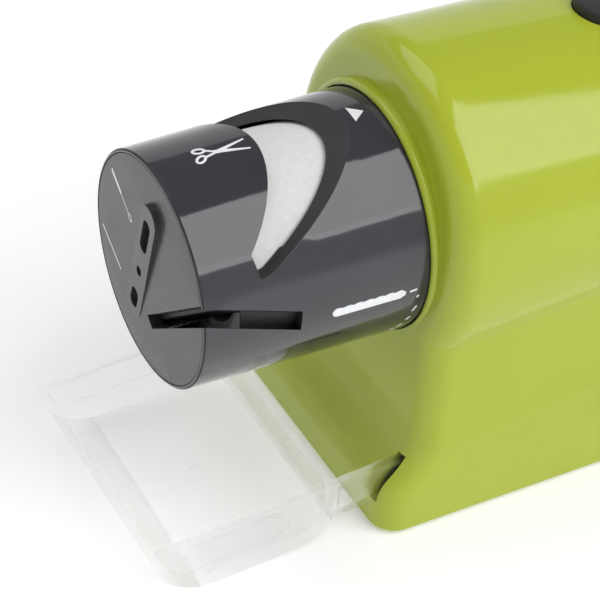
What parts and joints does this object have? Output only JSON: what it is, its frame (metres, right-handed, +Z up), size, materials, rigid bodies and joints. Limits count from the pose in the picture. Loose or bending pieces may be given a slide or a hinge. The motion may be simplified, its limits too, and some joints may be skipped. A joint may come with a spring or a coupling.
{
  "type": "cordless motorised sharpener",
  "caption": "Battery-powered bench sharpener: round head with knife slot and scissor notch over a spinning stone drum, arched two-half body, clear pull-out dust tray.",
  "frame": {"origin": "centre of the footprint, on the surface it stands on", "axes": "+Y from the sharpening head to the back, +Z up, +X to the right seen from the front"},
  "size_m": [0.0698, 0.1808, 0.1022],
  "materials": {
    "green_shell": "glossy moulded lime green",
    "gloss_black": "glossy charcoal black",
    "matte_black": "fine matte black",
    "white_stone": "fine-grained white ceramic",
    "grey_nylon": "moulded grey nylon",
    "clear_plastic": "clear polished plastic",
    "zinc_steel": "zinc plated",
    "bright_steel": "bright",
    "rotor_steel": "laminated steel",
    "dark_magnet": "ferrite",
    "brass_fitting": "turned",
    "cell_sleeve": "plain printed sleeve",
    "foot_rubber": "matte",
    "red_insulation": "smooth",
    "black_insulation": "smooth"
  },
  "bodies": {
    "housing": {"left_housing": "green_shell", "right_housing": "green_shell", "housing_screws": "zinc_steel", "motor_can": "zinc_steel", "motor_magnets": "dark_magnet", "motor_end_cap": "matte_black", "motor_bushes": "brass_fitting", "motor_bracket": "zinc_steel", "motor_screws": "zinc_steel", "switch_body": "matte_black", "button_spring": "bright_steel", "battery_holder": "matte_black", "battery_springs": "bright_steel", "battery_contacts": "bright_steel", "battery_1": "cell_sleeve", "battery_2": "cell_sleeve", "battery_3": "cell_sleeve", "battery_4": "cell_sleeve", "rubber_feet": "foot_rubber", "red_wire": "red_insulation", "black_wire": "black_insulation", "motor_lead": "red_insulation"},
    "head": {"head_cover": "gloss_black", "front_plate": "gloss_black", "blade_guide": "matte_black", "rest_pin": "bright_steel", "guide_screws": "zinc_steel"},
    "spindle": {"rotor": "rotor_steel", "wheel_carrier": "grey_nylon", "grinding_wheel": "white_stone", "carrier_washer": "bright_steel", "carrier_nut": "brass_fitting"},
    "button": {"power_button": "matte_black", "switch_plunger": "matte_black"},
    "door": {"battery_door": "green_shell"},
    "tray": {"tray": "clear_plastic"}
  },
  "joints": [
    {"name": "head_twist", "type": "hinge", "parent": "housing", "child": "head", "pos_m": [0, -0.02755, 0.064], "axis": [0, 1, 0], "range_deg": [0, 35]},
    {"name": "wheel_spin", "type": "hinge", "parent": "housing", "child": "spindle", "pos_m": [0, -0.02755, 0.064], "axis": [0, 1, 0], "continuous": true},
    {"name": "button_press", "type": "slide", "parent": "housing", "child": "button", "axis": [0, 0, -1], "range_m": [0, 0.0018], "stiffness_N_per_m": 800, "springref_m": -0.0012, "deforming": ["button_spring"]},
    {"name": "door_swing", "type": "hinge", "parent": "housing", "child": "door", "pos_m": [0, 0.00855, 0.0021], "axis": [-1, 0, 0], "range_deg": [0, 95]},
    {"name": "tray_slide", "type": "slide", "parent": "housing", "child": "tray", "axis": [0, -0.9967, -0.0811], "range_m": [-0.008, 0.024]}
  ]
}
